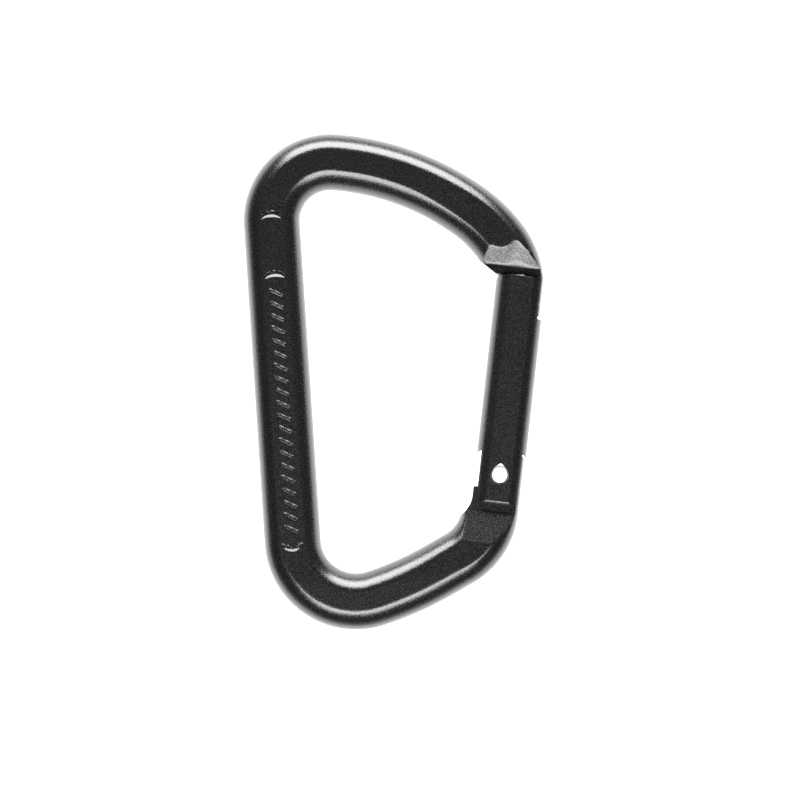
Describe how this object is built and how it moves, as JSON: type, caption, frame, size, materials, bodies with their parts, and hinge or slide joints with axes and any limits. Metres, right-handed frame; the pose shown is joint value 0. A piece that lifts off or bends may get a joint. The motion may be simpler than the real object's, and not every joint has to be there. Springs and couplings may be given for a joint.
{
  "type": "carabiner",
  "caption": "Offset-D accessory carabiner with a flat-landed round rod frame and a riveted, spring-closed gate with a snag-free slotted nose",
  "frame": {"origin": "centre of the whole object's box, on the mid-plane of the rod", "axes": "+Y along the straight spine towards the wide end, +X from the spine towards the gate, +Z out of the front face"},
  "size_m": [0.0478, 0.0802, 0.0082],
  "materials": {
    "anodised": "black anodised over a fine-blasted surface, satin",
    "bare_steel": "bare stainless steel",
    "spring_steel": "drawn spring wire"
  },
  "bodies": {
    "frame_body": {"frame": "anodised"},
    "gate_body": {"gate": "anodised", "gate_rivet": "bare_steel", "gate_spring": "spring_steel"},
    "plunger_body": {"spring_plunger": "bare_steel"}
  },
  "joints": [
    {"name": "gate_hinge", "type": "hinge", "parent": "frame_body", "child": "gate_body", "pos_m": [0.01454, -0.01688, 0], "axis": [0, 0, 1], "range_deg": [0, 26], "stiffness_Nm_per_rad": 0.06, "springref_deg": -51.57},
    {"name": "plunger_slide", "type": "slide", "parent": "gate_body", "child": "plunger_body", "axis": [0.1782, 0.984, 0], "range_m": [0, 0.00112], "deforming": ["gate_spring"]}
  ],
  "couplings": [
    {"joint": "plunger_slide", "follows": "gate_hinge", "m_per_rad": 0.0024241}
  ]
}
